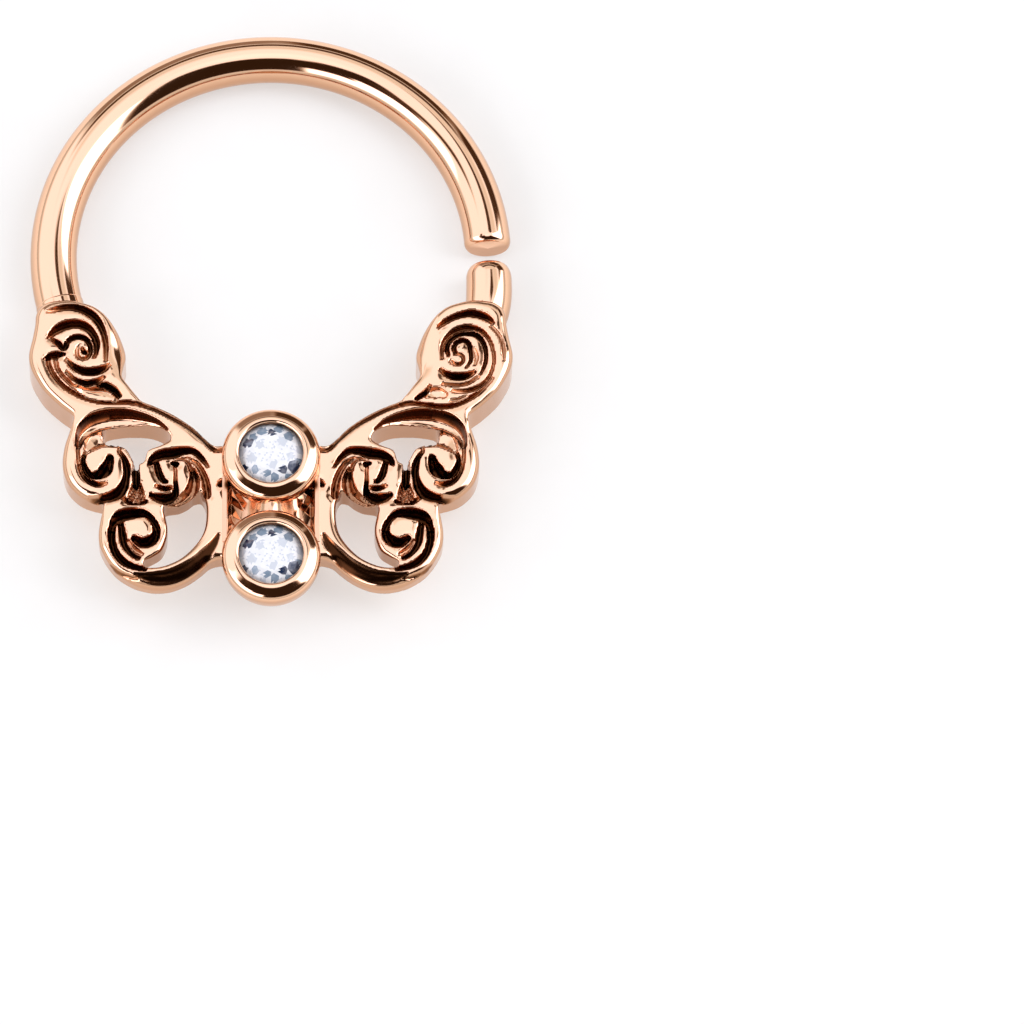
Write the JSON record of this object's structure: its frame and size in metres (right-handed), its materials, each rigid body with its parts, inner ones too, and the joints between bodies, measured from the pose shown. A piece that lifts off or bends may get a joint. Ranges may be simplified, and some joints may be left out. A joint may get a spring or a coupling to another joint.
{
  "type": "septum ring",
  "caption": "Round wire septum ring with a cut, spiral shoulders, pierced scrollwork wings and two bezel-set round stones, lying on its back",
  "frame": {"origin": "middle of the ring's outline on the surface that it lies on", "axes": "+Y to the top of the hoop, +Z out of the front of the ring, +X to the right in front view"},
  "size_m": [0.0124, 0.0163, 0.0023],
  "materials": {
    "metal": "surgical steel with a polished rose gold coloured plating",
    "crystal": "clear faceted crystal"
  },
  "bodies": {
    "root": {"ring_frame": "metal", "upper_stone": "crystal", "lower_stone": "crystal"}
  },
  "joints": []
}
